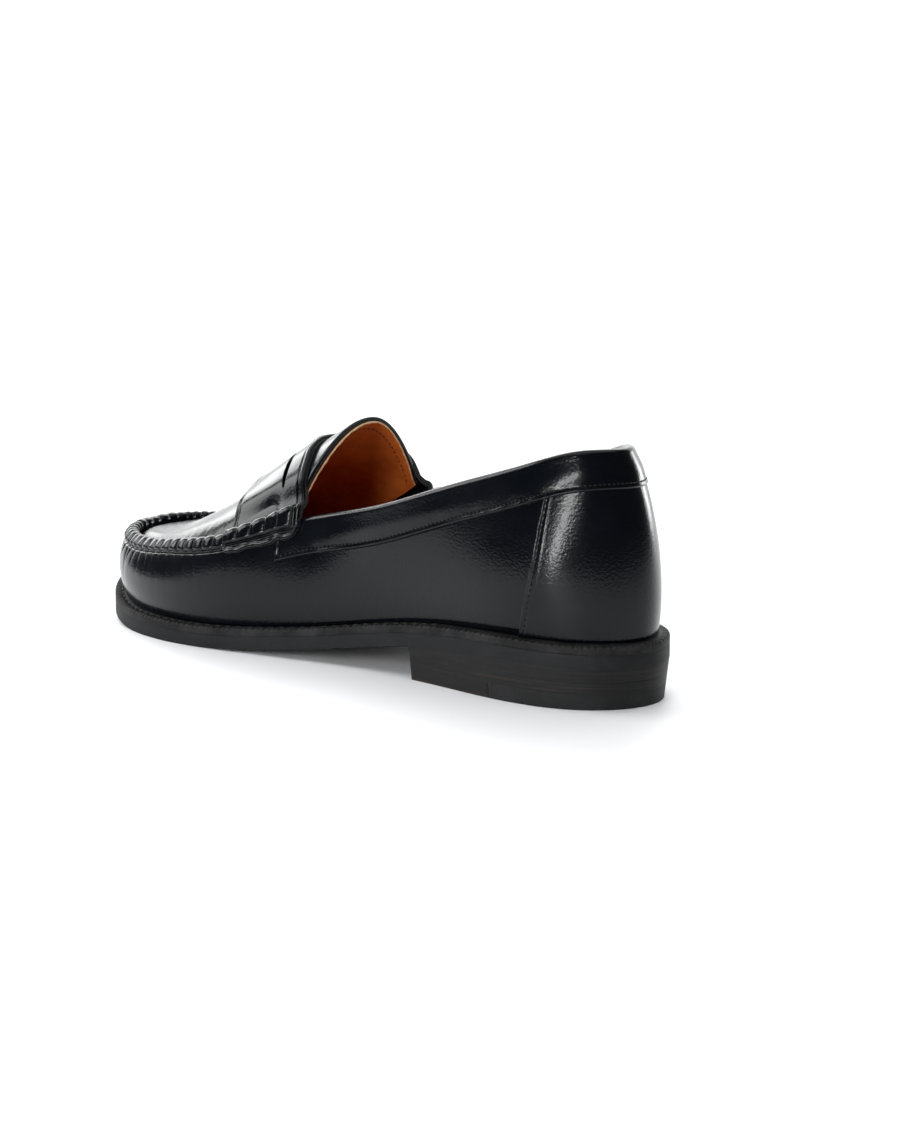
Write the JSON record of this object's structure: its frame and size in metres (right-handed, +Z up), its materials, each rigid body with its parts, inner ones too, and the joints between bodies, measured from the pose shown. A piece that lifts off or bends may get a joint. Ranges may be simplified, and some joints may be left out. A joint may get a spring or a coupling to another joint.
{
  "type": "penny loafer",
  "caption": "Left slip-on moccasin shoe with a gathered raised seam round a flat apron, a slotted saddle strap over the instep, a collar band, a welted sole and a low stacked heel",
  "frame": {"origin": "centre of the bounding box on the ground plane that the sole and the heel stand on", "axes": "+Z up, -Y points to the toe, +X to the wearer's left, which is the outer side of this left shoe"},
  "size_m": [0.0956, 0.2696, 0.0839],
  "materials": {
    "upper_leather": "polished black calf with a fine corrected grain",
    "strap_leather": "polished black calf with a fine corrected grain",
    "lining_leather": "matt tan pigskin lining",
    "stiffener": "pressed leatherboard",
    "insole_board": "pressed fibre board",
    "cork": "granulated cork filler",
    "tape": "woven nylon reinforcing tape",
    "outsole_rubber": "matt black rubber, trimmed edge",
    "welt_leather": "black inked welt with a wheeled top",
    "heel_leather": "black inked stacked lifts",
    "heel_rubber": "matt black rubber with fine speckle",
    "steel": "plain steel",
    "thread": "waxed black thread"
  },
  "bodies": {
    "root": {"apron": "upper_leather", "apron_lining": "lining_leather", "collar_band": "upper_leather", "collar_stitches": "thread", "forepart_filler": "cork", "heel_counter": "stiffener", "heel_cover": "upper_leather", "heel_grip": "lining_leather", "heel_lift_lower": "heel_leather", "heel_lift_upper": "heel_leather", "heel_nails": "steel", "heel_pad": "lining_leather", "heel_rubber_tip": "heel_rubber", "heel_seam_stitches_inner": "thread", "heel_seam_stitches_outer": "thread", "heel_top_piece": "heel_leather", "insole_board": "insole_board", "moc_seam_stitches": "thread", "outsole": "outsole_rubber", "quarter_lining_inner": "lining_leather", "quarter_lining_outer": "lining_leather", "saddle_strap": "strap_leather", "shank": "steel", "sock_lining": "lining_leather", "strap_lining": "strap_leather", "strap_stitches": "thread", "toe_puff": "stiffener", "tongue_stitches": "thread", "topline_tape": "tape", "vamp": "upper_leather", "vamp_lining": "lining_leather", "welt": "welt_leather", "welt_stitches": "thread"}
  },
  "joints": []
}
